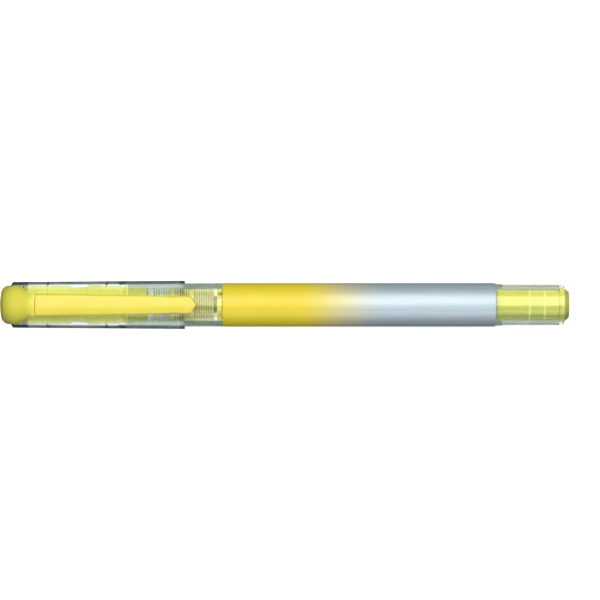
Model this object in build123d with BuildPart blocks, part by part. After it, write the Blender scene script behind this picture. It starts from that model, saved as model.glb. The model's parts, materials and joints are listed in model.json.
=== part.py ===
from build123d import *

import os
from math import radians, sin

# Capped liquid-ink marker pen: clear cap with a coloured clip, clear barrel with a finned ink
# collector in view, printed film round the ink tank, chisel nib with a window.
#
# Millimetres. The pen lies along X with the cap towards -X and the clip on top (+Z). The origin is
# the bottom centre of the whole pen, on the surface that it lies on, with the cap seated.
# A name that ends in _x is a station along the pen; radii are from the pen's axis.

# ---- Barrel ------------------------------------------------------------------------------------
barrel_radius = 5.45
barrel_length = 108.6
front_wall = 0.8  # round the coarse fins and the grip's spigot
front_chamber = 15.2  # from the barrel's front face to the step ahead of the fine fins
tank_wall = 1.32
stop_rim = 0.8  # rim inside the barrel, between the collector and the tank stopper
stop_rim_height = 0.35
edge_break = 0.2

# Tail end, thinner so that the cap can be pushed on to it
tail_length = 17.1
tail_step = 0.18  # also the round on the film's rear edge
tail_step_length = 1.5
post_clearance = 0.02  # between the tail and the cap's narrow bore
tail_wall = 1.15
lip_length = 1.3
lip_step = 0.185
lip_wall = 0.48

# ---- Printed film round the tank ---------------------------------------------------------------
film_thickness = 0.08
film_start = 23.45  # behind the barrel's front face

# ---- Grip section, which carries the nib and plugs into the barrel -----------------------------
grip_length = 16.6
nozzle_radius = 2.9
seal_clearance = 0.06  # from the grip's cone to the inner cap's bore
seal_overlap = 0.4  # how far the cone's full width reaches into the inner cap
collar_root_rise = 0.27  # the cone meets the collar this far outside the inner cap's bore
collar_position = 10.25  # its front face, ahead of the barrel
collar_length = 3.15
collar_clearance = 0.09
grip_step = 0.2  # the grip is this much thinner than its collar
waist_depth = 0.21
waist_position = 1.9
waist_half_length = 1.0
shoulder_length = 0.7
shoulder_step = 0.25
spigot_length = 4.6
spigot_clearance = 0.05
spigot_rib_position = 2.0
rib_width = 0.35
grip_cavity_radius = 3.1
grip_cavity_depth = 8.0  # from the spigot's rear end

# ---- Nib, its window and the feed --------------------------------------------------------------
nib_reach = 6.0  # how far the nib stands out of the grip section
nib_width = 4.0
nib_thickness = 2.6
nib_tang_length = 4.2
nib_slant = 1.5  # the writing edge runs back this far across the nib's width
nib_edge = 0.7  # thickness of the writing edge
nib_taper_length = 2.4
window_length = 2.9
window_width = 2.1
window_setback = 2.5  # from the nib's foremost point
window_bulge = 0.15
window_corner = 0.3
socket_clearance = 0.04
core_radius = 1.25
core_length = 41.5
core_clearance = 0.04

# ---- Collector -----------------------------------------------------------------------------------
collector_start = 5.5  # its front flange, behind the barrel's front face
flange_thickness = 0.8
hub_radius = 2.1
fin_clearance = 0.06
coarse_pitch = 0.62
coarse_fin = 0.28
mid_ring_position = 10.3  # plain ring among the coarse fins, behind the barrel's front face
mid_ring_thickness = 1.3
ring_thickness = 1.1  # the solid ring that closes the front chamber
fine_pitch = 0.47
fine_fin = 0.22
fine_chamber = 5.0
hub_tail = 3.2  # hub behind the fine fins, through the stopper and into the tank
air_slot_width = 0.8
air_slot_depth = 0.9
air_slot_turn = 31.0
ink_slit_width = 0.25
ink_slit_root = 1.7

# ---- Tank stopper and ink ------------------------------------------------------------------------
stopper_thickness = 1.2
stopper_notches = 6
stopper_notch_width = 1.6
stopper_notch_depth = 1.1
ink_gap = 0.03
ink_level = 0.8  # the ink's surface above the pen's axis, as the pen lies

# ---- Tail plug -------------------------------------------------------------------------------------
plug_reach = 1.2
plug_skirt_length = 16.4
plug_clearance = 0.04
plug_wall = 0.8
plug_end_wall = 1.6
plug_rib_positions = (5.0, 8.75)  # ahead of the barrel's rear end
plug_rib_width = 0.45
plug_cone_radius = 4.3
plug_face_radius = 3.2

# ---- Cap -------------------------------------------------------------------------------------------
cap_overlap = 13.85  # the cap's mouth lies this far behind the barrel's front face
cap_clearance = 0.08
cap_mouth_wall = 0.53
cap_wall = 0.62
cap_bore_step = 0.41
cap_bore_slope = 1.8  # length of the cone between the two bores
cap_bore_lead = 0.75  # how far the wide bore reaches ahead of the barrel's front face
cap_end_round = 0.45
cap_end_wall = 2.95
cap_end_cone = 1.5
mouth_bevel_length = 1.3
mouth_bevel = 0.22
ring_groove_depth = 0.08
ring_groove_half_width = 0.3
front_groove_position = 5.5  # ahead of the barrel's front face
nib_room = 0.7  # from the nib to the inner cap's end

# Inner cap, the cup that keeps the nib wet
inner_cap_gap = 0.29
inner_cap_wall = 0.5
inner_cap_end = 0.9
inner_cap_seat = 0.65  # from the end wall's cone to the cup's end
inner_cap_mouth = 14.2  # its mouth, ahead of the barrel's front face
inner_cap_bevel = 0.65
inner_cap_rib_position = 20.15  # ahead of the barrel's front face
boss_radius = 3.2
boss_clearance = 0.05
boss_grip = 0.5  # how far the crown's boss reaches into the inner cap's socket

# Crown and clip
crown_reach = 2.95
crown_step = 0.91  # the crown is this much smaller than the tube's closed end
dome_face_radius = 18.0  # the crown's end is slightly domed
dome_face_turn = 10.5  # degrees of it before the tighter curve to the crown's side
clip_gap = 1.29  # between the cap's mouth and the arm
clip_thickness = 1.25
clip_half_width = 2.75
clip_side_drop = 0.5  # from the ridge of the arm's arched top to its sides
clip_tip_drop = 0.3  # from the arm's top to its point
head_length = 9.2
head_clearance = 0.08
head_undercut = 1.5  # the head's rear face slopes forward by this much down to the tube
# Sections of the clip's head: distance from the crown's end in millimetres, half width as a share of
# the crown's radius, then the side wall's height and the top's as shares of the clip's height
HEAD_SECTIONS = (
    (0.55, 0.63, 0.093, 0.419),
    (2.2, 0.968, 0.233, 0.709),
    (4.5, 1.017, 0.349, 0.837),
    (6.6, 0.779, 0.651, 0.948),
)
clip_overhang = 3.1  # the clip's point stands this far past the cap's mouth
clip_tip_half_width = 2.24
clip_point_length = 1.15
clip_point_round = 0.5
clip_bead_position = 3.0  # ahead of the cap's mouth
clip_bead_radius = 1.15
clip_bead_clearance = 0.06
clip_root_gap = 0.03  # between the head and the arm that springs from it

# ---- Worked-out sizes --------------------------------------------------------------------------
front_bore = barrel_radius - front_wall
tank_bore = barrel_radius - tank_wall
film_bed = barrel_radius - film_thickness
tail_root_radius = barrel_radius - tail_step
stop_rim_bore = tank_bore - stop_rim_height

cap_mouth_bore = barrel_radius + cap_clearance
cap_mouth_radius = cap_mouth_bore + cap_mouth_wall
cap_bore = cap_mouth_bore - cap_bore_step
tail_radius = cap_bore - post_clearance
plug_bore = tail_radius - tail_wall
lip_radius = tail_radius - lip_step
lip_bore = lip_radius - lip_wall
plug_funnel = tank_bore - plug_bore  # the tank narrows to the plug's bore over this length
cap_end_radius = cap_bore + cap_wall
inner_cap_radius = cap_bore - inner_cap_gap
inner_cap_bore = inner_cap_radius - inner_cap_wall
crown_radius = cap_end_radius - crown_step
collar_radius = cap_bore - collar_clearance
grip_radius = collar_radius - grip_step
shoulder_radius = barrel_radius - shoulder_step
seal_radius = inner_cap_bore - seal_clearance
collar_root_radius = inner_cap_bore + collar_root_rise
spigot_radius = front_bore - spigot_clearance
clip_top = cap_mouth_radius + clip_gap + clip_thickness  # from the pen's axis
clip_side_top = clip_top - clip_side_drop
clip_tip_top = clip_top - clip_tip_drop

# The cap is as long as what it covers
cap_cover = grip_length + nib_reach + nib_room + inner_cap_end + inner_cap_seat
cap_length = cap_overlap + cap_cover + cap_end_wall + cap_end_cone
overall_length = crown_reach + cap_length - cap_overlap + barrel_length + plug_reach

# Stations along the pen
crown_end_x = -overall_length / 2
cap_end_x = crown_end_x + crown_reach
cap_mouth_x = cap_end_x + cap_length
barrel_front_x = cap_mouth_x - cap_overlap
barrel_rear_x = barrel_front_x + barrel_length
tail_end_x = barrel_rear_x + plug_reach
tail_shoulder_x = barrel_rear_x - tail_length
lip_x = barrel_rear_x - lip_length
step_x = barrel_front_x + front_chamber
stop_rim_x = step_x + ring_thickness + fine_chamber
film_front_x = barrel_front_x + film_start
plug_front_x = lip_x - plug_skirt_length
grip_front_x = barrel_front_x - grip_length
nib_tip_x = grip_front_x - nib_reach
inner_cap_inside_x = nib_tip_x - nib_room
inner_mouth_x = barrel_front_x - inner_cap_mouth
cone_face_x = cap_end_x + cap_end_wall + cap_end_cone
core_front_x = grip_front_x + nib_tang_length
clip_root_x = crown_end_x + head_length
clip_point_x = cap_mouth_x + clip_overhang

# The pen's axis is as high as the cap's mouth is wide, so the pen lies on z = 0
axis_z = cap_mouth_radius
SECTION = Plane(origin=(0, 0, axis_z), x_dir=(1, 0, 0), z_dir=(0, -1, 0))
PLAN = Plane(origin=(0, 0, axis_z), x_dir=(1, 0, 0), z_dir=(0, 0, 1))
CROSS = Plane(origin=(0, 0, axis_z), x_dir=(0, 1, 0), z_dir=(1, 0, 0))
PEN_AXIS = Axis((0, 0, axis_z), (1, 0, 0))

os.makedirs("parts", exist_ok=True)


def rib(station, base, width, height):
    """Outline points of a sealing rib with sloping flanks, on a wall of radius base."""
    slope = width / 4
    return [
        (station - width / 2 - slope, base),
        (station - width / 2, base + height),
        (station + width / 2, base + height),
        (station + width / 2 + slope, base),
    ]


# ---- Barrel: clear tube, front chamber and ink tank --------------------------------------------
with BuildPart() as barrel:
    with BuildSketch(SECTION):
        with BuildLine():
            Polyline(
                (barrel_front_x, front_bore),
                (barrel_front_x, barrel_radius - edge_break),
                (barrel_front_x + edge_break, barrel_radius),
                (film_front_x, barrel_radius),
                (film_front_x, film_bed),
                (tail_shoulder_x - tail_step, film_bed),
                (tail_shoulder_x - film_thickness, tail_root_radius),
                (tail_shoulder_x + tail_step_length, tail_root_radius),
                (tail_shoulder_x + tail_step_length, tail_radius),
                (lip_x, tail_radius),
                (lip_x, lip_radius),
                (barrel_rear_x - edge_break, lip_radius),
                (barrel_rear_x, lip_radius - edge_break),
                (barrel_rear_x, lip_bore),
                (lip_x, lip_bore),
                (lip_x, plug_bore),
                (plug_front_x - plug_funnel, plug_bore),
                (plug_front_x - 2 * plug_funnel, tank_bore),
                (stop_rim_x + stop_rim, tank_bore),
                (stop_rim_x + stop_rim, stop_rim_bore),
                (stop_rim_x, stop_rim_bore),
                (stop_rim_x, tank_bore),
                (step_x + ring_thickness, tank_bore),
                (step_x + ring_thickness, front_bore),
                close=True,
            )
        make_face()
    revolve(axis=PEN_AXIS)

barrel.part.label = "barrel"
export_step(barrel.part, "parts/barrel.step")

# ---- Printed film: wraps the tank and hugs the rounded shoulder at its rear --------------------
with BuildPart() as barrel_film:
    with BuildSketch(SECTION):
        with BuildLine():
            outer = Line((film_front_x, barrel_radius), (tail_shoulder_x - tail_step, barrel_radius))
            outer_turn = RadiusArc(outer @ 1, (tail_shoulder_x, tail_root_radius), tail_step)
            Polyline(
                outer_turn @ 1,
                (tail_shoulder_x - film_thickness, tail_root_radius),
                (tail_shoulder_x - tail_step, film_bed),
                (film_front_x, film_bed),
                outer @ 0,
            )
        make_face()
    revolve(axis=PEN_AXIS)

barrel_film.part.label = "barrel_film"
export_step(barrel_film.part, "parts/barrel_film.step")

# ---- Grip section: nozzle, seal cone, collar, waisted grip and the spigot in the barrel --------
collar_x = barrel_front_x - collar_position
collar_rear_x = collar_x + collar_length
shoulder_x = barrel_front_x - shoulder_length
waist_x = barrel_front_x - waist_position
spigot_end_x = barrel_front_x + spigot_length
spigot_ribs = rib(barrel_front_x + spigot_rib_position, spigot_radius, rib_width, spigot_clearance)

with BuildPart() as grip_section:
    with BuildSketch(SECTION):
        with BuildLine():
            nose = Polyline(
                (grip_front_x, 0),
                (grip_front_x, nozzle_radius - edge_break),
                (grip_front_x + edge_break, nozzle_radius),
                (inner_mouth_x - seal_overlap, seal_radius),
                (collar_x, collar_root_radius),
                (collar_x, collar_radius - edge_break),
                (collar_x + edge_break, collar_radius),
                (collar_rear_x - edge_break, collar_radius),
                (collar_rear_x, grip_radius),
                (waist_x - waist_half_length, grip_radius),
            )
            waist = ThreePointArc(
                nose @ 1,
                (waist_x, grip_radius - waist_depth),
                (waist_x + waist_half_length / 2, grip_radius - waist_depth / 2),
            )
            Polyline(
                waist @ 1,
                (shoulder_x, shoulder_radius),
                (barrel_front_x, shoulder_radius),
                (barrel_front_x, spigot_radius),
                *spigot_ribs,
                (spigot_end_x - edge_break, spigot_radius),
                (spigot_end_x, spigot_radius - edge_break),
                (spigot_end_x, 0),
                (grip_front_x, 0),
            )
        make_face()
    revolve(axis=PEN_AXIS)
    # the hollow behind, which takes the collector's front end
    with BuildSketch(CROSS.offset(spigot_end_x)):
        Circle(grip_cavity_radius)
    extrude(amount=-grip_cavity_depth, mode=Mode.SUBTRACT)
    # bore for the feed core
    with BuildSketch(CROSS.offset(grip_front_x)):
        Circle(core_radius + core_clearance)
    extrude(amount=grip_length + spigot_length, mode=Mode.SUBTRACT)
    # socket for the nib's tang
    with BuildSketch(CROSS.offset(grip_front_x)):
        Rectangle(nib_width + 2 * socket_clearance, nib_thickness + 2 * socket_clearance)
    extrude(amount=nib_tang_length, mode=Mode.SUBTRACT)

grip_section.part.label = "grip_section"
export_step(grip_section.part, "parts/grip_section.step")

# ---- Nib: porous chisel with a slanted writing edge and a window through it --------------------
window_front_x = nib_tip_x + window_setback
half_nib = nib_width / 2

with BuildPart() as nib:
    with BuildSketch(PLAN):
        with BuildLine():
            Polyline(
                (nib_tip_x, half_nib),
                (nib_tip_x + nib_slant, -half_nib),
                (core_front_x, -half_nib),
                (core_front_x, half_nib),
                close=True,
            )
        make_face()
    extrude(amount=nib_thickness / 2, both=True)
    # the two sloping faces that thin the nib to its writing edge
    with BuildSketch(SECTION):
        with BuildLine():
            Polyline(
                (nib_tip_x, -nib_edge / 2),
                (nib_tip_x, nib_edge / 2),
                (nib_tip_x + nib_taper_length, nib_thickness / 2),
                (core_front_x, nib_thickness / 2),
                (core_front_x, -nib_thickness / 2),
                (nib_tip_x + nib_taper_length, -nib_thickness / 2),
                close=True,
            )
        make_face()
    extrude(amount=nib_width, both=True, mode=Mode.INTERSECT)
    with BuildSketch(PLAN):
        with Locations((window_front_x + window_length / 2, 0)):
            RectangleRounded(window_length, window_width, window_corner)
    extrude(amount=nib_thickness, both=True, mode=Mode.SUBTRACT)

nib.part.label = "nib"
export_step(nib.part, "parts/nib.step")

# ---- Nib window: clear block that fills the nib's opening --------------------------------------
with BuildPart() as nib_window:
    with BuildSketch(PLAN):
        with Locations((window_front_x + window_length / 2, 0)):
            RectangleRounded(window_length, window_width, window_corner)
        offset(amount=-socket_clearance)
    extrude(amount=nib_thickness / 2 + window_bulge, both=True)
    faces_out = nib_window.faces().filter_by(Axis.Z)
    fillet(faces_out.edges(), window_bulge)

nib_window.part.label = "nib_window"
export_step(nib_window.part, "parts/nib_window.step")

# ---- Feed core: fibre rod from the tank to the nib ---------------------------------------------
with BuildPart() as feed_core:
    with BuildSketch(CROSS.offset(core_front_x)):
        Circle(core_radius)
    extrude(amount=core_length)

feed_core.part.label = "feed_core"
export_step(feed_core.part, "parts/feed_core.step")

# ---- Collector: finned feed that holds back surplus ink ----------------------------------------
collector_x = barrel_front_x + collector_start
coarse_radius = front_bore - fin_clearance
fine_radius = tank_bore - fin_clearance
mid_ring_x = barrel_front_x + mid_ring_position
hub_end_x = stop_rim_x + hub_tail
nose_end_x = spigot_end_x - grip_cavity_depth / 2


def comb(start, end, pitch, fin, radius):
    """Outline points of the fins that fill the hub from start to end with even gaps."""
    count = round((end - start) / pitch)
    gap = (end - start - count * fin) / (count + 1)
    points = []
    for number in range(count):
        front = start + gap + number * (fin + gap)
        points += [(front, hub_radius), (front, radius), (front + fin, radius), (front + fin, hub_radius)]
    return points


with BuildPart() as collector:
    with BuildSketch(SECTION):
        with BuildLine():
            Polyline(
                (nose_end_x, core_radius + core_clearance),
                (nose_end_x, hub_radius),
                (collector_x, hub_radius),
                (collector_x, coarse_radius),
                (collector_x + flange_thickness, coarse_radius),
                (collector_x + flange_thickness, hub_radius),
                *comb(collector_x + flange_thickness, mid_ring_x, coarse_pitch, coarse_fin, coarse_radius),
                (mid_ring_x, hub_radius),
                (mid_ring_x, coarse_radius),
                (mid_ring_x + mid_ring_thickness, coarse_radius),
                (mid_ring_x + mid_ring_thickness, hub_radius),
                *comb(mid_ring_x + mid_ring_thickness, step_x, coarse_pitch, coarse_fin, coarse_radius),
                (step_x, hub_radius),
                (step_x, front_bore),
                (step_x + ring_thickness, front_bore),
                (step_x + ring_thickness, hub_radius),
                *comb(step_x + ring_thickness, stop_rim_x, fine_pitch, fine_fin, fine_radius),
                (hub_end_x, hub_radius),
                (hub_end_x, core_radius + core_clearance),
                close=True,
            )
        make_face()
    revolve(axis=PEN_AXIS)
    # air slot through every fin, and the narrow ink slit opposite it
    slot_start_x = collector_x - edge_break
    slot_length = stop_rim_x - slot_start_x
    for turn, width, root in (
        (air_slot_turn, air_slot_width, fine_radius - air_slot_depth),
        (air_slot_turn + 180, ink_slit_width, ink_slit_root),
    ):
        slot_plane = CROSS.offset(slot_start_x).rotated((0, 0, -turn))
        with BuildSketch(slot_plane):
            with Locations((0, root + front_bore / 2)):
                Rectangle(width, front_bore)
        extrude(amount=slot_length, mode=Mode.SUBTRACT)

collector.part.label = "collector"
export_step(collector.part, "parts/collector.step")

# ---- Tank stopper: notched disc that holds the collector's tail in the tank's mouth ------------
stopper_x = stop_rim_x + stop_rim

with BuildPart() as tank_stopper:
    with BuildSketch(CROSS.offset(stopper_x)) as stopper_outline:
        Circle(tank_bore - ink_gap)
        Circle(hub_radius + core_clearance, mode=Mode.SUBTRACT)
        with PolarLocations(tank_bore, stopper_notches):
            Rectangle(2 * stopper_notch_depth, stopper_notch_width, mode=Mode.SUBTRACT)
    extrude(amount=stopper_thickness)

tank_stopper.part.label = "tank_stopper"
export_step(tank_stopper.part, "parts/tank_stopper.step")

# ---- Ink: lies in the tank from the stopper to the tail plug, with an air space above it -------
ink_x = stopper_x + stopper_thickness + ink_gap

with BuildPart() as ink_charge:
    with BuildSketch(SECTION):
        with BuildLine():
            Polyline(
                (ink_x, 0),
                (ink_x, tank_bore - ink_gap),
                (plug_front_x - 2 * plug_funnel - ink_gap, tank_bore - ink_gap),
                (plug_front_x - plug_funnel - ink_gap, plug_bore - ink_gap),
                (plug_front_x - ink_gap, plug_bore - ink_gap),
                (plug_front_x - ink_gap, 0),
                close=True,
            )
        make_face()
    revolve(axis=PEN_AXIS)
    with BuildSketch(CROSS.offset(ink_x)):
        Circle(hub_radius + ink_gap)
    extrude(amount=hub_end_x - ink_x + ink_gap, mode=Mode.SUBTRACT)
    with BuildSketch(CROSS.offset(ink_x)):
        Circle(core_radius + ink_gap)
    extrude(amount=core_front_x + core_length - ink_x + ink_gap, mode=Mode.SUBTRACT)
    with BuildSketch(PLAN.offset(ink_level)):
        with Locations(((ink_x + plug_front_x) / 2, 0)):
            Rectangle(plug_front_x - ink_x, 2 * tank_bore)
    extrude(amount=tank_bore, mode=Mode.SUBTRACT)

ink_charge.part.label = "ink_charge"
export_step(ink_charge.part, "parts/ink_charge.step")

# ---- Tail plug: hollow cup with two sealing ribs and a coned end -------------------------------
plug_radius = plug_bore - plug_clearance
plug_ribs = []
for position in sorted(plug_rib_positions, reverse=True):
    plug_ribs += rib(barrel_rear_x - position, plug_radius, plug_rib_width, plug_clearance)

with BuildPart() as tail_plug:
    with BuildSketch(SECTION):
        with BuildLine():
            Polyline(
                (plug_front_x, plug_radius - plug_wall),
                (plug_front_x, plug_radius - edge_break),
                (plug_front_x + edge_break, plug_radius),
                *plug_ribs,
                (lip_x, plug_radius),
                (lip_x, lip_bore - plug_clearance),
                (barrel_rear_x, lip_bore - plug_clearance),
                (barrel_rear_x, plug_cone_radius),
                (tail_end_x, plug_face_radius),
                (tail_end_x, 0),
                (tail_end_x - plug_end_wall, 0),
                (tail_end_x - plug_end_wall, plug_radius - plug_wall),
                close=True,
            )
        make_face()
    revolve(axis=PEN_AXIS)

tail_plug.part.label = "tail_plug"
export_step(tail_plug.part, "parts/tail_plug.step")

# ---- Cap tube: clear, with a coned end wall, a narrow bore and a wide bore ---------------------
wide_bore_x = barrel_front_x - cap_bore_lead
cap_ring_x = barrel_front_x - inner_cap_rib_position
front_groove_x = barrel_front_x - front_groove_position
end_hole = boss_radius + boss_clearance
cone_root_x = cone_face_x - cap_end_cone

with BuildPart() as cap_tube:
    with BuildSketch(SECTION):
        with BuildLine():
            Polyline(
                (cap_end_x, end_hole),
                (cap_end_x, cap_end_radius),
                (cap_mouth_x, cap_mouth_radius),
                (cap_mouth_x, cap_mouth_bore + mouth_bevel),
                (cap_mouth_x - mouth_bevel_length, cap_mouth_bore),
                (wide_bore_x, cap_mouth_bore),
                (wide_bore_x - cap_bore_slope, cap_bore),
                (front_groove_x + ring_groove_half_width, cap_bore),
                (front_groove_x, cap_bore + ring_groove_depth),
                (front_groove_x - ring_groove_half_width, cap_bore),
                (cap_ring_x + ring_groove_half_width, cap_bore),
                (cap_ring_x, cap_bore + ring_groove_depth),
                (cap_ring_x - ring_groove_half_width, cap_bore),
                (cone_root_x, cap_bore),
                (cone_face_x, end_hole),
                close=True,
            )
        make_face()
    revolve(axis=PEN_AXIS)
    rim = cap_tube.edges().filter_by(GeomType.CIRCLE).group_by(Axis.X)[0].sort_by(SortBy.RADIUS)[-1]
    fillet(rim, cap_end_round)

cap_tube.part.label = "cap_tube"
export_step(cap_tube.part, "parts/cap_tube.step")

# ---- Inner cap: sealing cup, seated on the end wall's cone -------------------------------------
inner_back_x = inner_cap_inside_x - inner_cap_end
cone_slope = cap_end_cone / (cap_bore - end_hole)
rim_back_x = cone_face_x - cone_slope * (inner_cap_radius - end_hole) + socket_clearance
socket_x = cone_face_x + socket_clearance

with BuildPart() as inner_cap:
    with BuildSketch(SECTION):
        with BuildLine():
            Polyline(
                (inner_back_x, 0),
                (inner_back_x, end_hole),
                (socket_x, end_hole),
                (rim_back_x, inner_cap_radius),
                (cap_ring_x - ring_groove_half_width, inner_cap_radius),
                (cap_ring_x, cap_bore + ring_groove_depth - socket_clearance),
                (cap_ring_x + ring_groove_half_width, inner_cap_radius),
                (inner_mouth_x - inner_cap_bevel, inner_cap_radius),
                (inner_mouth_x, inner_cap_radius - inner_cap_wall + edge_break / 2),
                (inner_mouth_x, inner_cap_bore),
                (inner_cap_inside_x, inner_cap_bore),
                (inner_cap_inside_x, 0),
                close=True,
            )
        make_face()
    revolve(axis=PEN_AXIS)

inner_cap.part.label = "inner_cap"
export_step(inner_cap.part, "parts/inner_cap.step")

# ---- Crown: domed end with a boss through the cap's end wall, and the clip's head --------------
head_sections = [
    (station, crown_radius * width, clip_top * side, clip_top * top)
    for station, width, side, top in HEAD_SECTIONS
]
head_sections.append((head_length, clip_half_width, clip_side_top, clip_top))
face_sine = sin(radians(dome_face_turn))
dome_side_radius = (crown_radius - dome_face_radius * face_sine) / (1 - face_sine)

with BuildPart() as cap_crown:
    # head: grows out of the dome, wraps the tube's end and narrows to the clip's width
    for station, half_width, side, top in head_sections:
        with BuildSketch(CROSS.offset(crown_end_x + station)):
            with BuildLine():
                walls = Polyline((-half_width, side), (-half_width, 0), (half_width, 0), (half_width, side))
                ThreePointArc(walls @ 1, (0, top), walls @ 0)
            make_face()
    loft()
    with BuildSketch(SECTION):
        with BuildLine():
            Polyline(
                (clip_root_x, clip_top - clip_thickness),
                (clip_root_x, 0),
                (clip_root_x - head_undercut, 0),
                (clip_root_x - head_undercut, cap_end_radius),
                close=True,
            )
        make_face()
    extrude(amount=2 * clip_half_width, both=True, mode=Mode.SUBTRACT)
    # room for the tube under the head
    with BuildSketch(SECTION):
        with BuildLine():
            Polyline(
                (cap_end_x, 0),
                (cap_end_x, cap_end_radius + head_clearance),
                (cap_mouth_x, cap_mouth_radius + head_clearance),
                (cap_mouth_x, 0),
                close=True,
            )
        make_face()
    revolve(axis=PEN_AXIS, mode=Mode.SUBTRACT)
    # domed disc and boss
    with BuildSketch(SECTION):
        with BuildLine():
            face = JernArc((crown_end_x, 0), (0, 1), dome_face_radius, -dome_face_turn)
            turn = JernArc(face @ 1, face % 1, dome_side_radius, dome_face_turn - 90)
            Polyline(
                turn @ 1,
                (cap_end_x, crown_radius),
                (cap_end_x, boss_radius),
                (socket_x + boss_grip, boss_radius),
                (socket_x + boss_grip, 0),
                face @ 0,
            )
        make_face()
    revolve(axis=PEN_AXIS)

cap_crown.part.label = "cap_crown"
export_step(cap_crown.part, "parts/cap_crown.step")

# ---- Clip arm: springs from the head and ends in a point past the cap's mouth ------------------
clip_bead_x = cap_mouth_x - clip_bead_position
tip_shoulder_x = clip_point_x - clip_point_length
arm_x = clip_root_x + clip_root_gap

with BuildPart() as clip_arm:
    # a flat strip with an arched top
    with BuildSketch(CROSS.offset(arm_x)):
        with BuildLine():
            walls = Polyline(
                (-clip_half_width, clip_side_top),
                (-clip_half_width, 0),
                (clip_half_width, 0),
                (clip_half_width, clip_side_top),
            )
            ThreePointArc(walls @ 1, (0, clip_top), walls @ 0)
        make_face()
    extrude(amount=clip_point_x - arm_x)
    # its outline from above, narrowing to a blunt point
    with BuildSketch(PLAN):
        with BuildLine():
            Polyline(
                (arm_x, clip_half_width),
                (tip_shoulder_x, clip_tip_half_width),
                (clip_point_x, 0),
                (tip_shoulder_x, -clip_tip_half_width),
                (arm_x, -clip_half_width),
                close=True,
            )
        outline = make_face()
        fillet(outline.vertices().sort_by(Axis.X)[2:], clip_point_round)
    extrude(amount=clip_top + clip_thickness, mode=Mode.INTERSECT)
    # its height along the pen, with the bead that presses on what is clipped
    with BuildSketch(SECTION):
        with BuildLine():
            Polyline(
                (arm_x, clip_top - clip_thickness),
                (arm_x, clip_top),
                (clip_bead_x, clip_top),
                (clip_point_x, clip_tip_top),
                (clip_point_x, clip_tip_top - clip_thickness / 2),
                (tip_shoulder_x, clip_tip_top - clip_thickness),
                (clip_bead_x, clip_top - clip_thickness),
                close=True,
            )
        make_face()
        with Locations((clip_bead_x, cap_mouth_radius + clip_bead_clearance + clip_bead_radius)):
            Circle(clip_bead_radius)
    extrude(amount=2 * clip_half_width, both=True, mode=Mode.INTERSECT)

clip_arm.part.label = "clip_arm"
export_step(clip_arm.part, "parts/clip_arm.step")
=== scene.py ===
import json
from math import cos, pi, sin

import bmesh
import bpy
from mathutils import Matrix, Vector


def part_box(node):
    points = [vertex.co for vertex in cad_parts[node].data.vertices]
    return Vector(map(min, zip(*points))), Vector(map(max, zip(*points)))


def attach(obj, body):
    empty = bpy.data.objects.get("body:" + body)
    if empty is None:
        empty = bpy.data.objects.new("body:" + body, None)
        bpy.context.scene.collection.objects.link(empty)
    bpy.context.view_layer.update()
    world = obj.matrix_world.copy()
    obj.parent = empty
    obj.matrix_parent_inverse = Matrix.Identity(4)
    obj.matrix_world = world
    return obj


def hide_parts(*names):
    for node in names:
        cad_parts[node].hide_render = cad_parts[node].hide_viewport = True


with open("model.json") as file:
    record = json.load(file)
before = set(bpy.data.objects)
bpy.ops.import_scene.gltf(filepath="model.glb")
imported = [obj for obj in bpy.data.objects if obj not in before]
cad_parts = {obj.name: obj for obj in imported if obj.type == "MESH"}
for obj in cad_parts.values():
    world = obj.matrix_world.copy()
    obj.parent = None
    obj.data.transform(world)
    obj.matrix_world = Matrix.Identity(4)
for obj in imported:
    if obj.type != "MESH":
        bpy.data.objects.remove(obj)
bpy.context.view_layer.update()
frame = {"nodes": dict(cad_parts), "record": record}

# Capped liquid-ink marker pen, lying along X with its clip up. Metres.
MM = 0.001


# ---- Stations and radii, read from the frame ---------------------------------------------------
class Span:
    """A CAD node's ends along the pen, its largest radius and the pen's axis height."""

    def __init__(self, node):
        low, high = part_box(node)
        self.front = low.x
        self.rear = high.x
        self.low = low
        self.high = high
        self.radius = (high.y - low.y) / 2
        self.length = high.x - low.x


film = Span("barrel_film")
plug = Span("tail_plug")
cap = Span("cap_tube")
crown = Span("cap_crown")
clip = Span("clip_arm")
collector = Span("collector")
AXIS_Z = (cap.low.z + cap.high.z) / 2


# ---- Shader values ------------------------------------------------------------------------------
class Value:
    """A number on a socket. Python's operators add Math nodes to its node tree."""

    def __init__(self, shader, socket):
        self.shader = shader
        self.socket = socket

    def math(self, operation, *others, clamp=False):
        inputs = dict(enumerate([self, *others]))
        return self.shader.node("Math", {"operation": operation, "use_clamp": clamp}, inputs)[0]

    def __add__(self, other):
        return self.math("ADD", other)

    __radd__ = __add__

    def __sub__(self, other):
        return self.math("SUBTRACT", other)

    def __rsub__(self, other):
        return self.math("MULTIPLY", -1.0) + other

    def __mul__(self, other):
        return self.math("MULTIPLY", other)

    __rmul__ = __mul__

    def __truediv__(self, other):
        return self.math("DIVIDE", other)

    def __pow__(self, other):
        return self.math("POWER", other)

    def __abs__(self):
        return self.math("ABSOLUTE")

    def over(self, limit):
        return self.math("GREATER_THAN", limit)

    def clamped(self):
        return self.math("ADD", 0.0, clamp=True)

    def ramp(self, start, end):
        """0 before start, 1 after end, straight between."""
        return ((self - start) / (end - start)).clamped()

    def smooth(self, start, end):
        """0 before start, 1 after end, eased between."""
        settings = {"interpolation_type": "SMOOTHSTEP"}
        inputs = {"Value": self, "From Min": start, "From Max": end}
        return self.shader.node("MapRange", settings, inputs)[0]

    def inside(self, start, end, edge):
        """1 between start and end, 0 outside, with soft edges."""
        return self.smooth(start - edge, start + edge) * (1 - self.smooth(end - edge, end + edge))


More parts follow.
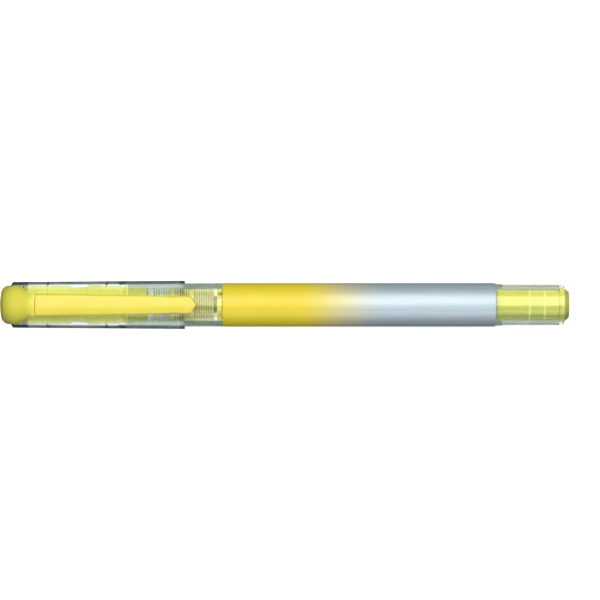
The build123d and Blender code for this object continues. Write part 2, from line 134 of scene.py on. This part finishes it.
class Shader:
    """One material's node tree."""

    def __init__(self, name):
        self.material = bpy.data.materials.new(name)
        self.material.use_nodes = True
        self.tree = self.material.node_tree
        self.tree.nodes.clear()
        self.place = None

    def node(self, kind, settings=None, inputs=None):
        """Adds a node with its settings, then its sockets' values or links. Returns its outputs."""
        made = self.tree.nodes.new("ShaderNode" + kind)
        for key, value in (settings or {}).items():
            setattr(made, key, value)
        for key, value in (inputs or {}).items():
            if isinstance(value, Value):
                self.tree.links.new(value.socket, made.inputs[key])
            else:
                made.inputs[key].default_value = value
        return [Value(self, socket) for socket in made.outputs if socket.enabled]

    def where(self):
        """The point on the object, in the pen's own frame, in millimetres."""
        if self.place is None:
            point = self.node("TexCoord")[3]
            self.place = self.node("VectorMath", {"operation": "SCALE"}, {0: point, "Scale": 1 / MM})[0]
        return self.place

    def xyz(self):
        return self.node("SeparateXYZ", {}, {0: self.where()})

    def noise(self, scale, detail=2.0, roughness=0.5, stretch=(1, 1, 1)):
        point = self.node("VectorMath", {"operation": "MULTIPLY"}, {0: self.where(), 1: stretch})[0]
        settings = {"noise_dimensions": "3D"}
        inputs = {"Vector": point, "Scale": scale, "Detail": detail, "Roughness": roughness}
        return self.node("TexNoise", settings, inputs)[0]

    def mix(self, factor, first, second, blend="MIX"):
        """Mixes two colours."""
        settings = {"data_type": "RGBA", "blend_type": blend, "clamp_factor": True}
        return self.node("Mix", settings, {0: factor, 6: first, 7: second})[0]

    def bump(self, height, distance, strength=1.0):
        inputs = {"Height": height, "Distance": distance, "Strength": strength}
        return self.node("Bump", {}, inputs)[0]

    def surface(self, **sockets):
        """A Principled surface. Words joined by _ name its sockets."""
        inputs = {key.replace("_", " "): value for key, value in sockets.items()}
        return self.node("BsdfPrincipled", {}, inputs)[0]

    def finish(self, surface):
        out = self.tree.nodes.new("ShaderNodeOutputMaterial")
        self.tree.links.new(surface.socket, out.inputs["Surface"])
        return self.material


def rgb(red, green, blue):
    """A display colour, 0 to 255, as linear light."""

    def linear(value):
        share = value / 255
        return share / 12.92 if share <= 0.04045 else ((share + 0.055) / 1.055) ** 2.4

    return (linear(red), linear(green), linear(blue), 1.0)


YELLOW = rgb(252, 234, 80)
YELLOW_DEEP = rgb(244, 222, 62)
# Lit and shaded copies of the crown's yellow: the darker one is painted shade.
CROWN_PAINTED_SHADE = rgb(206, 204, 76)
CROWN_LIT_YELLOW = rgb(246, 236, 86)
GRIP = rgb(232, 226, 84)
GRIP_DEEP = rgb(208, 202, 60)
INK = rgb(246, 226, 60)
INK_DEEP = rgb(232, 220, 40)
CORE_DEEP = rgb(220, 210, 90)
LEMON = rgb(230, 224, 90)
LEMON_DEEP = rgb(228, 222, 90)
NATURAL = rgb(214, 216, 190)
# Painted dark edge colours of the clear pieces: painted reflections of dark surroundings at their
# edges.
WINDOW_PAINTED_EDGE = rgb(104, 142, 134)
BARREL_PAINTED_EDGE = rgb(118, 150, 130)
CAP_PAINTED_EDGE = rgb(70, 86, 88)
# Lit and shaded copies of the tail plug's yellow: the shaded one is painted shade.
PLUG_PALE = rgb(214, 211, 100)
PLUG_SHADED = rgb(150, 170, 84)
PLUG_FLOW = rgb(206, 208, 88)
WET_RIB = rgb(252, 246, 150)
# The collector's hub colours are painted shade between the fins; the fin colours are the plastic's own.
PALE_SHADED_HUB = rgb(118, 138, 126)
PALE_FIN = rgb(238, 241, 228)
STAINED_SHADED_HUB = rgb(150, 152, 66)
STAINED_FIN = rgb(222, 212, 112)
SILVER = rgb(196, 212, 222)
SILVER_LIGHT = rgb(212, 225, 233)
FILM_YELLOW = rgb(252, 226, 52)
FILM_YELLOW_DEEP = rgb(246, 218, 56)

PLASTIC_IOR = 1.5
GRAIN_DEPTH = 0.01 * MM


def moulded(name, base, deep, grain=0.35, coat=0.25):
    """Opaque moulded plastic: slight flow marks in the colour and a fine satin grain."""
    s = Shader(name)
    flow = s.noise(0.35, detail=3.0, stretch=(0.35, 1, 1))
    colour = s.mix(flow.ramp(0.3, 0.75) * 0.5, base, deep)
    grain_height = s.noise(6.0, detail=2.0) * 0.6 + s.noise(22.0, detail=1.0) * 0.4
    rough = 0.24 + s.noise(1.4, detail=2.0) * 0.16
    normal = s.bump(grain_height, GRAIN_DEPTH, grain)
    return s.finish(
        s.surface(
            Base_Color=colour,
            Roughness=rough,
            IOR=PLASTIC_IOR,
            Coat_Weight=coat,
            Coat_Roughness=0.12,
            Normal=normal,
        )
    )


def crown_material():
    """The crown and the clip's head: moulded like the clip, with painted shade towards the pen's end
    and the lower side, and a painted highlight ring near the end.
    """
    s = Shader("yellow_crown_plastic")
    x, y = s.xyz()[:2]
    end = crown.front / MM
    # Painted shade: darker towards the pen's end, where the head slopes away from the light, and
    # towards the lower side.
    painted_shade = (1 - (x - end).smooth(0.3, 5.0)) * 0.6 + (1 - y.smooth(-4.5, 1.0)) * 0.25
    flow = s.noise(0.35, detail=3.0)
    colour = s.mix(painted_shade.clamped(), CROWN_LIT_YELLOW, CROWN_PAINTED_SHADE)
    colour = s.mix(flow.ramp(0.3, 0.75) * 0.15, colour, YELLOW_DEEP)
    # Painted highlight: a lighter ring near the end, where the rounded edge catches the light.
    painted_rim_highlight = (x - end).inside(1.2, 1.75, 0.12)
    colour = s.mix(painted_rim_highlight * 0.4, colour, YELLOW)
    grain = s.noise(6.0, detail=2.0) * 0.6 + s.noise(22.0, detail=1.0) * 0.4
    return s.finish(
        s.surface(
            Base_Color=colour,
            Roughness=0.3 + flow * 0.1,
            Coat_Weight=0.2,
            Coat_Roughness=0.15,
            Normal=s.bump(grain, GRAIN_DEPTH, 0.4),
        )
    )


# The tail plug's two seal ribs: where each starts behind the plug's front, and its width. Millimetres.
SEAL_RIBS = (8.75, 12.5)
SEAL_RIB_WIDTH = 0.4


def plug_material():
    """The tail plug: satin, with a pale line where each seal rib wets the barrel's wall, and painted
    shade towards its lower side.
    """
    s = Shader("yellow_plug_plastic")
    x, y = s.xyz()[:2]
    behind = x - plug.front / MM
    ribs = sum(behind.inside(rib, rib + SEAL_RIB_WIDTH, 0.08) for rib in SEAL_RIBS)
    flow = s.noise(0.35, detail=3.0, stretch=(0.35, 1, 1))
    # Painted shade: darker towards the lower side (-Y).
    shade = (1 - y.smooth(-3.6, 1.2)) * 0.8
    colour = s.mix(shade, PLUG_PALE, PLUG_SHADED)
    colour = s.mix(flow.ramp(0.3, 0.75) * 0.25, colour, PLUG_FLOW)
    colour = s.mix(ribs * 0.65, colour, WET_RIB)
    return s.finish(
        s.surface(
            Base_Color=colour,
            Roughness=0.6 + flow * 0.1,
            Normal=s.bump(s.noise(9.0), GRAIN_DEPTH, 0.3),
        )
    )


def clear_plastic(name, tint, edge, edge_start, edge_end, wall_radius, smoky_to=None, bare_from=None):
    """Clear moulded plastic that bends light and lets lamps reach through. Its outer wall takes a
    painted dark edge, a painted reflection, where it is seen edge on, less so ahead of bare_from, where
    the cap covers it. Ahead of smoky_to it is solid and greyer, with some of the same painted dark
    colour."""
    wall_skin = 0.15
    edge_softness = 0.06
    clearest = rgb(250, 254, 255)
    lamp_tint = (0.93, 0.95, 0.94, 1.0)
    s = Shader(name)
    x, y, z = s.xyz()
    waves = s.noise(0.25, detail=1.0, stretch=(0.4, 1, 1))
    scuffs = s.noise(3.0, detail=4.0, roughness=0.7, stretch=(0.15, 2.5, 2.5)).ramp(0.62, 0.85)
    colour = s.mix(waves.ramp(0.3, 0.8) * 0.4, tint, clearest)
    clear = s.surface(
        Base_Color=colour,
        Roughness=0.09 + scuffs * 0.12,
        IOR=PLASTIC_IOR,
        Transmission_Weight=1.0,
        Normal=s.bump(waves, 2 * GRAIN_DEPTH, 0.25),
    )
    height = z - AXIS_Z / MM
    outside = (y * y + height * height).smooth((wall_radius - wall_skin) ** 2, wall_radius**2)
    # Painted reflection: a dark band where the outer wall is seen edge on.
    facing = s.node("LayerWeight", {}, {"Blend": 0.5})[1]
    share = facing.inside(edge_start, edge_end, edge_softness) * outside * (0.78 + waves * 0.2)
    if bare_from is not None:
        share = share * (0.45 + x.smooth(bare_from - 1.0, bare_from) * 0.55)
    if smoky_to is not None:
        share = (share + (1 - x.smooth(smoky_to - 0.5, smoky_to)) * outside * 0.35).clamped()
    painted_dark_edge = s.surface(Base_Color=s.mix(scuffs * 0.3, edge, tint), Roughness=0.12, IOR=PLASTIC_IOR)
    wall = s.node("MixShader", {}, {0: share, 1: clear, 2: painted_dark_edge})[0]
    through = s.node("BsdfTransparent", {}, {"Color": lamp_tint})[0]
    lamp_ray = s.node("LightPath")[1]
    return s.finish(s.node("MixShader", {}, {0: lamp_ray, 1: wall, 2: through})[0])


def collector_material():
    """Natural plastic, stained by ink from the ring that closes the front chamber to the tank, with
    painted shade towards the hub between the fins.
    """
    s = Shader("ink_stained_collector_plastic")
    x, y, z = s.xyz()
    behind = x - collector.front / MM
    cloud = s.noise(0.8, detail=3.0)
    height = z - AXIS_Z / MM
    # Painted shade: darker towards the hub, in the recesses between the fins.
    lit_fin_share = ((y * y + height * height) ** 0.5).smooth(2.3, 4.1)
    pale = s.mix(lit_fin_share, PALE_SHADED_HUB, PALE_FIN)
    stained = s.mix(lit_fin_share, STAINED_SHADED_HUB, STAINED_FIN)
    colour = s.mix(behind.smooth(8.6, 9.6), pale, stained)
    colour = s.mix(cloud.ramp(0.3, 0.7) * 0.2, colour, NATURAL)
    return s.finish(
        s.surface(
            Base_Color=colour,
            Roughness=0.3 + cloud * 0.15,
            Coat_Weight=0.2,
            Normal=s.bump(s.noise(7.0), GRAIN_DEPTH, 0.3),
        )
    )


def printed_film_material():
    """Printed film: yellow at the front, fading to metallic silver at the tail."""
    s = Shader("printed_film_gloss")
    x, y, z = s.xyz()
    along = (x - film.front / MM) / (film.length / MM)
    turn = s.node("Math", {"operation": "ARCTAN2"}, {0: y, 1: z - AXIS_Z / MM})[0]
    silver_share = along.smooth(0.27, 0.62)
    brushed = s.noise(2.2, detail=3.0, stretch=(0.05, 1.6, 1.6))
    silver = s.mix(brushed.ramp(0.3, 0.7), SILVER, SILVER_LIGHT)
    yellow = s.mix(s.noise(0.3).ramp(0.35, 0.7) * 0.4, FILM_YELLOW, FILM_YELLOW_DEEP)
    colour = s.mix(silver_share, yellow, silver)
    seam_half_turn = 0.03
    seam = abs(turn).over(pi - seam_half_turn)
    normal = s.bump(seam + s.noise(1.0) * 0.2, 2 * GRAIN_DEPTH, 0.5)
    return s.finish(
        s.surface(
            Base_Color=colour,
            Roughness=0.42 + silver_share * 0.1,
            Metallic=silver_share * 0.45,
            Coat_Weight=0.15,
            Coat_Roughness=0.3,
            Normal=normal,
        )
    )


def fibre(name, base, deep):
    """Bonded fibre: long strands along the pen, matte and porous."""
    s = Shader(name)
    strands = s.noise(9.0, detail=3.0, roughness=0.65, stretch=(0.12, 1, 1))
    colour = s.mix(strands.ramp(0.35, 0.7), base, deep)
    return s.finish(
        s.surface(
            Base_Color=colour,
            Roughness=0.75 + strands * 0.2,
            Normal=s.bump(strands, 0.00008, 0.8),
            Sheen_Weight=0.2,
            Sheen_Roughness=0.5,
        )
    )


def ink_material():
    """Fluorescent ink in the tank: bright, slightly glowing, with a clear wet surface."""
    s = Shader("fluorescent_ink")
    cloud = s.noise(0.5, detail=3.0)
    colour = s.mix(cloud.ramp(0.3, 0.7) * 0.6, INK, INK_DEEP)
    return s.finish(
        s.surface(
            Base_Color=colour,
            Roughness=0.08 + cloud * 0.05,
            Coat_Weight=0.4,
            Emission_Color=colour,
            Emission_Strength=0.12,
        )
    )


MATERIALS = {
    "clear_barrel": clear_plastic(
        "clear_barrel_plastic",
        tint=rgb(236, 237, 212),
        edge=BARREL_PAINTED_EDGE,
        edge_start=0.30,
        edge_end=0.72,
        wall_radius=film.radius / MM - 0.3,
        bare_from=cap.rear / MM,
    ),
    "clear_cap": clear_plastic(
        "clear_cap_plastic",
        tint=rgb(234, 241, 247),
        edge=CAP_PAINTED_EDGE,
        edge_start=0.50,
        edge_end=0.93,
        wall_radius=5.6,
        smoky_to=cap.front / MM + 4.4,
    ),
    "clear_window": clear_plastic(
        "clear_nib_window",
        tint=rgb(244, 250, 246),
        edge=WINDOW_PAINTED_EDGE,
        edge_start=0.8,
        edge_end=0.95,
        wall_radius=film.radius / MM,
    ),
    "printed_film": printed_film_material(),
    "clip_plastic": moulded("yellow_clip_plastic", YELLOW, YELLOW_DEEP),
    "yellow_plastic": moulded("yellow_grip_plastic", GRIP, GRIP_DEEP),
    "inner_cap_plastic": moulded("lemon_inner_cap_plastic", LEMON, LEMON_DEEP, coat=0.1),
    "plug_plastic": plug_material(),
    "collector_plastic": collector_material(),
    "stopper_plastic": moulded("ink_wet_stopper_plastic", LEMON, INK, coat=0.3),
    "nib_fibre": fibre("yellow_nib_fibre", INK, YELLOW_DEEP),
    "core_fibre": fibre("core_fibre_strands", INK, CORE_DEEP),
    "ink": ink_material(),
}

slots = {entry["node"]: entry["material_slot"] for entry in frame["record"]["subparts"]}
for node, carried in frame["nodes"].items():
    for slot in carried.material_slots:
        slot.material = MATERIALS[slots[node]]
for slot in frame["nodes"]["cap_crown"].material_slots:
    slot.material = crown_material()


# ---- Pieces made smoother than their CAD nodes ---------------------------------------------------
def add_piece(name, points, faces, node, slot, body):
    """Adds a mesh that takes a CAD node's place on the same body."""
    mesh = bpy.data.meshes.new(name)
    mesh.from_pydata(points, [], faces)
    mesh.shade_smooth()
    mesh.materials.append(MATERIALS[slot])
    piece = bpy.data.objects.new(name, mesh)
    bpy.context.collection.objects.link(piece)
    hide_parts(node)
    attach(piece, body)
    return piece


def ring_faces(start, count):
    """The faces between two rings of points, the first of which begins at start."""
    faces = []
    for number in range(count):
        here = start + number
        after = start + (number + 1) % count
        faces.append((here, here + count, after + count, after))
    return faces


def join_meeting_points(mesh):
    """Joins points that lie together, such as a ring on the axis, and drops edges left with no face."""
    shape = bmesh.new()
    shape.from_mesh(mesh)
    bmesh.ops.remove_doubles(shape, verts=shape.verts, dist=0.0001 * MM)
    loose = [edge for edge in shape.edges if not edge.link_faces]
    bmesh.ops.delete(shape, geom=loose, context="EDGES")
    shape.to_mesh(mesh)
    shape.free()


def make_turned(name, outline, node, slot, body):
    """A turned piece. The outline holds distances behind the CAD node's front end, and radii, both in
    millimetres."""
    turns = 160
    sharp_edge = 0.14
    start = Span(node).front
    points = []
    faces = []
    for station, radius in [*outline, outline[0]]:
        if points:
            faces += ring_faces(len(points) - turns, turns)
        for number in range(turns):
            turn = number / turns * 2 * pi
            height = AXIS_Z + radius * MM * cos(turn)
            points.append((start + station * MM, radius * MM * sin(turn), height))
    piece = add_piece(name, points, faces, node, slot, body)
    join_meeting_points(piece.data)
    piece.data.set_sharp_from_angle(angle=sharp_edge)


def round_corner(station, radius, size):
    """Outline points of a quarter round that ends at station, running down from radius."""
    steps = 12
    bends = [step / steps * pi / 2 for step in range(steps + 1)]
    return [(station - size * (1 - sin(bend)), radius - size * (1 - cos(bend))) for bend in bends]


def seal_rib(station):
    """Outline points of a rib round the tail plug, sloped on both sides."""
    rib_radius = 3.935
    slope = 0.07
    return [
        (station - slope, PLUG_RADIUS),
        (station, rib_radius),
        (station + SEAL_RIB_WIDTH, rib_radius),
        (station + SEAL_RIB_WIDTH + slope, PLUG_RADIUS),
    ]


def groove(station):
    """Outline points of a groove round the cap's bore, from its rear side to its front."""
    half_width = 0.3
    depth = 0.08
    return [
        (station + half_width, CAP_NARROW_BORE),
        (station, CAP_NARROW_BORE + depth),
        (station - half_width, CAP_NARROW_BORE),
    ]


# Radii and lengths of the turned pieces in millimetres, with the CAD's values.
EDGE_BREAK = 0.2
FILM_RADIUS = film.radius / MM
FILM_LENGTH = film.length / MM
FILM_THICKNESS = 0.08
FILM_START = 23.45
TAIL_STEP = 0.18
TAIL_SHOULDER = 91.5
TAIL_STEP_END = 93.0
TAIL_RADIUS = 5.1
LIP_START = 107.3
LIP_RADIUS = 4.915
LIP_BORE = 4.435
BARREL_LENGTH = 108.6
BARREL_RADIUS = 5.45
FILM_BED = BARREL_RADIUS - FILM_THICKNESS
TAIL_ROOT = BARREL_RADIUS - TAIL_STEP
FRONT_BORE = 4.65
FRONT_BORE_END = 16.3
TANK_BORE = 4.13
STOP_RIM_BORE = 3.78
STOP_RIM_START = 21.3
STOP_RIM_END = 22.1
PLUG_BORE = 3.95
PLUG_FUNNEL_START = 90.54
PLUG_FUNNEL_END = 90.72

PLUG_RADIUS = 3.91
PLUG_CAVITY_RADIUS = 3.11
PLUG_CAVITY_END = 17.3
PLUG_SKIRT = 16.4
PLUG_FLANGE_RADIUS = 4.395
PLUG_FLANGE_END = 17.7
PLUG_CONE_RADIUS = 4.3
PLUG_FACE_RADIUS = 3.2
PLUG_LENGTH = 18.9

CAP_LENGTH = 43.15
CAP_MOUTH_RADIUS = 6.055
CAP_MOUTH_BORE = 5.75
CAP_BEVEL_START = 41.85
CAP_WIDE_BORE = 5.53
CAP_NARROW_BORE = 5.12
CAP_SLOPE_START = 28.55
CAP_SLOPE_END = 26.75
CAP_GROOVES = (23.8, 9.15)
CAP_END_WALL = 2.95
CAP_END_CONE = 1.5
CAP_SOCKET_RADIUS = 3.25

FILM_OUTLINE = [
    (0.0, FILM_RADIUS - FILM_THICKNESS),
    (0.0, FILM_RADIUS),
    *round_corner(FILM_LENGTH, FILM_RADIUS, TAIL_STEP),
    (FILM_LENGTH - FILM_THICKNESS, FILM_RADIUS - TAIL_STEP),
    (FILM_LENGTH - TAIL_STEP, FILM_RADIUS - FILM_THICKNESS),
]
BARREL_OUTLINE = [
    (0.0, FRONT_BORE),
    (0.0, BARREL_RADIUS - EDGE_BREAK),
    (EDGE_BREAK, BARREL_RADIUS),
    (FILM_START, BARREL_RADIUS),
    (FILM_START, FILM_BED),
    (TAIL_SHOULDER - TAIL_STEP, FILM_BED),
    (TAIL_SHOULDER - FILM_THICKNESS, TAIL_ROOT),
    (TAIL_STEP_END, TAIL_ROOT),
    (TAIL_STEP_END, TAIL_RADIUS),
    (LIP_START, TAIL_RADIUS),
    (LIP_START, LIP_RADIUS),
    (BARREL_LENGTH - EDGE_BREAK, LIP_RADIUS),
    (BARREL_LENGTH, LIP_RADIUS - EDGE_BREAK),
    (BARREL_LENGTH, LIP_BORE),
    (LIP_START, LIP_BORE),
    (LIP_START, PLUG_BORE),
    (PLUG_FUNNEL_END, PLUG_BORE),
    (PLUG_FUNNEL_START, TANK_BORE),
    (STOP_RIM_END, TANK_BORE),
    (STOP_RIM_END, STOP_RIM_BORE),
    (STOP_RIM_START, STOP_RIM_BORE),
    (STOP_RIM_START, TANK_BORE),
    (FRONT_BORE_END, TANK_BORE),
    (FRONT_BORE_END, FRONT_BORE),
]
PLUG_OUTLINE = [
    (0.0, PLUG_CAVITY_RADIUS),
    (0.0, PLUG_RADIUS - EDGE_BREAK),
    (EDGE_BREAK, PLUG_RADIUS),
    *seal_rib(SEAL_RIBS[0]),
    *seal_rib(SEAL_RIBS[1]),
    (PLUG_SKIRT, PLUG_RADIUS),
    (PLUG_SKIRT, PLUG_FLANGE_RADIUS),
    (PLUG_FLANGE_END, PLUG_FLANGE_RADIUS),
    (PLUG_FLANGE_END, PLUG_CONE_RADIUS),
    (PLUG_LENGTH, PLUG_FACE_RADIUS),
    (PLUG_LENGTH, 0.0),
    (PLUG_CAVITY_END, 0.0),
    (PLUG_CAVITY_END, PLUG_CAVITY_RADIUS),
]
# Its second to fifth points round the edge of the cap's closed end.
CAP_TUBE_OUTLINE = [
    (0.0, CAP_SOCKET_RADIUS),
    (0.0, 5.3),
    (0.06, 5.5),
    (0.2, 5.66),
    (0.45, 5.74),
    (CAP_LENGTH, CAP_MOUTH_RADIUS),
    (CAP_LENGTH, CAP_MOUTH_BORE),
    (CAP_BEVEL_START, CAP_WIDE_BORE),
    (CAP_SLOPE_START, CAP_WIDE_BORE),
    (CAP_SLOPE_END, CAP_NARROW_BORE),
    *groove(CAP_GROOVES[0]),
    *groove(CAP_GROOVES[1]),
    (CAP_END_WALL, CAP_NARROW_BORE),
    (CAP_END_WALL + CAP_END_CONE, CAP_SOCKET_RADIUS),
]


# Right half of the arm's section from its ridge round to its underside: share of the half width, and
# millimetres below the ridge. The left half mirrors it.
ARM_HALF_SECTION = (
    (0.0, 0.0),
    (0.45, 0.05),
    (0.82, 0.2),
    (0.97, 0.45),
    (1.0, 0.75),
    (0.98, 1.12),
    (0.8, 1.25),
    (0.0, 1.25),
)
# Along the arm, in millimetres from its root: half width, drop of the ridge, and how much deeper the
# underside is, which makes the bead.
ARM_STATIONS = (
    (0.0, 2.75, 0.0, 1.0),
    (0.25, 2.75, 0.0, 1.0),
    (16.0, 2.54, 0.0, 1.0),
    (32.2, 2.33, 0.0, 1.0),
    (33.2, 2.31, 0.0, 1.55),
    (33.9, 2.30, 0.0, 1.9),
    (34.6, 2.29, 0.0, 1.55),
    (35.6, 2.28, 0.0, 1.0),
    (38.2, 2.24, 0.04, 1.0),
    (38.75, 2.16, 0.06, 0.98),
    (39.3, 1.3, 0.1, 0.85),
    (39.78, 0.55, 0.22, 0.7),
    (39.89, 0.42, 0.3, 0.55),
    (39.898, 0.4, 0.32, 0.5),
)


def make_clip_arm():
    """The clip's arm as a soft-edged strip: loops along it, smoothed by subdivision."""
    left_half = [(-side, depth) for side, depth in reversed(ARM_HALF_SECTION[1:-1])]
    section = list(ARM_HALF_SECTION) + left_half
    count = len(section)
    points = []
    faces = [tuple(range(count))]
    for station, half_width, ridge_drop, swell in ARM_STATIONS:
        if points:
            faces += ring_faces(len(points) - count, count)
        for side, depth in section:
            height = clip.high.z - (ridge_drop + depth * swell) * MM
            points.append((clip.front + station * MM, side * half_width * MM, height))
    faces.append(tuple(reversed(range(len(points) - count, len(points)))))
    arm = add_piece("clip_arm_soft", points, faces, "clip_arm", "clip_plastic", "clip")
    smoothing_level = 3
    smoothing = arm.modifiers.new("soft_edges", "SUBSURF")
    smoothing.levels = smoothing_level
    smoothing.render_levels = smoothing_level


# ---- Floor, light and camera --------------------------------------------------------------------
def make_floor():
    """A pale table with a glowing panel under the pen, which fades out around it."""
    size = 3.0
    glow_start = 110
    glow_end = 260
    corners = [(-size, -size, 0), (size, -size, 0), (size, size, 0), (-size, size, 0)]
    mesh = bpy.data.meshes.new("floor")
    mesh.from_pydata(corners, [], [(0, 1, 2, 3)])
    floor = bpy.data.objects.new("floor", mesh)
    bpy.context.collection.objects.link(floor)
    floor.location.z = -0.2 * MM
    s = Shader("plain_pale_floor")
    colour = s.mix(s.noise(0.02, detail=1.0), rgb(250, 250, 250), rgb(253, 253, 253))
    x, y = s.xyz()[:2]
    away = (x * x + y * y) ** 0.5
    glow = s.mix(away.smooth(glow_start, glow_end), (1.0, 1.0, 1.0, 1.0), (0.0, 0.0, 0.0, 1.0))
    surface = s.surface(
        Base_Color=colour,
        Roughness=0.9,
        Specular_IOR_Level=0.1,
        Emission_Color=glow,
        Emission_Strength=0.62,
    )
    mesh.materials.append(s.finish(surface))
    floor.visible_diffuse = False
    floor.visible_glossy = False


def make_lamp(name, place, aim, size, power):
    """A rectangular area lamp, sized in metres, with its power in watts."""
    data = bpy.data.lights.new(name, "AREA")
    data.shape = "RECTANGLE"
    data.size, data.size_y = size
    data.energy = power
    lamp = bpy.data.objects.new(name, data)
    bpy.context.collection.objects.link(lamp)
    lamp.location = place
    lamp.rotation_mode = "QUATERNION"
    lamp.rotation_quaternion = (Vector(aim) - Vector(place)).to_track_quat("-Z", "Y")
    return lamp


def make_light():
    """A dim room, a wide softbox behind the pen and a weak one in front of it."""
    room_colour = (0.75, 0.95, 1.0, 1.0)
    room_strength = 0.10
    world = bpy.data.worlds.new("studio")
    world.use_nodes = True
    background = world.node_tree.nodes["Background"]
    background.inputs["Color"].default_value = room_colour
    background.inputs["Strength"].default_value = room_strength
    bpy.context.scene.world = world
    middle = (0, 0, AXIS_Z)
    make_lamp("key_softbox", place=(0, 0.42, 1.00), aim=middle, size=(1.3, 1.2), power=13.0)
    make_lamp("fill_softbox", place=(0, -0.75, 0.75), aim=middle, size=(1.2, 0.5), power=3.0)


def make_camera():
    """A long lens straight above the pen, as in the photo."""
    data = bpy.data.cameras.new("camera")
    data.lens = 200
    data.sensor_width = 36
    camera = bpy.data.objects.new("camera", data)
    bpy.context.collection.objects.link(camera)
    view_width = 0.15
    centre_x = 0.0039
    centre_y = 0.0012
    distance = view_width / 2 / (data.sensor_width / 2 / data.lens)
    camera.location = (centre_x, centre_y, AXIS_Z + distance)
    camera.rotation_euler = (0, 0, 0)
    data.clip_start = 0.01
    data.clip_end = 10
    bpy.context.scene.camera = camera


make_turned("barrel_clear", BARREL_OUTLINE, "barrel", "clear_barrel", "pen")
make_turned("barrel_film_sleeve", FILM_OUTLINE, "barrel_film", "printed_film", "pen")
make_turned("tail_plug_smooth", PLUG_OUTLINE, "tail_plug", "plug_plastic", "pen")
make_turned("cap_tube_clear", CAP_TUBE_OUTLINE, "cap_tube", "clear_cap", "cap")
make_clip_arm()
make_floor()
make_light()
make_camera()
bpy.context.scene.view_settings.view_transform = "Standard"
